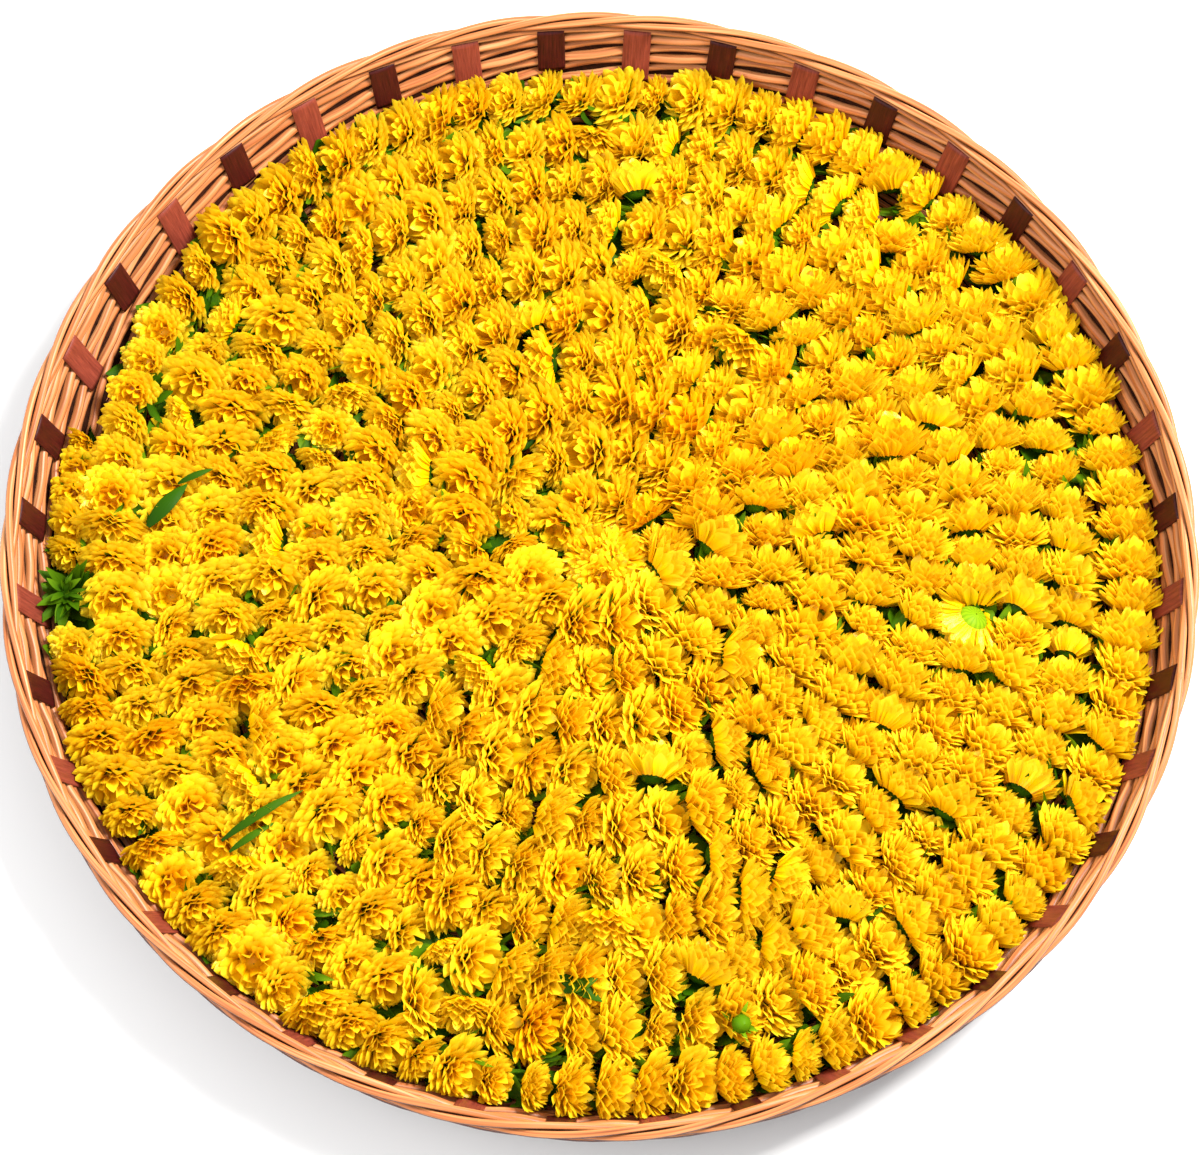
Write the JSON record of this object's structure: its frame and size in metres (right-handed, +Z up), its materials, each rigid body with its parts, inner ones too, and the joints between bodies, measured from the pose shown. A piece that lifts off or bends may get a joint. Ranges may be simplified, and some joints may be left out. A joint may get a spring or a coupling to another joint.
{
  "type": "chrysanthemum garland in a woven basket",
  "caption": "Long string of yellow chrysanthemum heads coiled flat in a round, shallow basket of woven rods with a twisted border.",
  "frame": {"origin": "centre of the underside of the foot ring, which stands on the surface", "axes": "+Z up, along the basket's axis; +Y away from the picture's viewer; +X to the viewer's right"},
  "size_m": [0.66, 0.66, 0.068],
  "materials": {
    "yellow_petals": "matte",
    "green_leaves": "matte",
    "straw_rods": "satin",
    "dark_splints": "satin",
    "red_splints": "satin"
  },
  "bodies": {
    "root": {"basket_base": "straw_rods", "basket_rim": "straw_rods", "basket_wall": "straw_rods", "garland_middle_head_1": "yellow_petals", "garland_middle_head_2": "yellow_petals", "garland_middle_head_3": "yellow_petals", "garland_turn_01": "yellow_petals", "garland_turn_02": "yellow_petals", "garland_turn_03": "yellow_petals", "garland_turn_04": "yellow_petals", "garland_turn_05": "yellow_petals", "garland_turn_06": "yellow_petals", "garland_turn_07": "yellow_petals", "garland_turn_08": "yellow_petals", "garland_turn_09": "yellow_petals", "garland_turn_10": "yellow_petals", "stake_01": "dark_splints", "stake_02": "red_splints", "stake_03": "dark_splints", "stake_04": "red_splints", "stake_05": "dark_splints", "stake_06": "red_splints", "stake_07": "dark_splints", "stake_08": "red_splints", "stake_09": "dark_splints", "stake_10": "red_splints", "stake_11": "dark_splints", "stake_12": "red_splints", "stake_13": "dark_splints", "stake_14": "red_splints", "stake_15": "dark_splints", "stake_16": "red_splints", "stake_17": "dark_splints", "stake_18": "red_splints", "stake_19": "dark_splints", "stake_20": "red_splints", "stake_21": "dark_splints", "stake_22": "dark_splints", "stake_23": "red_splints", "stake_24": "dark_splints", "stake_25": "red_splints", "stake_26": "dark_splints", "stake_27": "red_splints", "stake_28": "dark_splints", "stake_29": "red_splints", "stake_30": "dark_splints", "stake_31": "red_splints", "stake_32": "dark_splints", "stake_33": "red_splints", "stake_34": "dark_splints", "stake_35": "red_splints", "stake_36": "red_splints", "stake_37": "dark_splints", "stake_38": "red_splints", "stake_39": "dark_splints", "stake_40": "red_splints"}
  },
  "joints": []
}
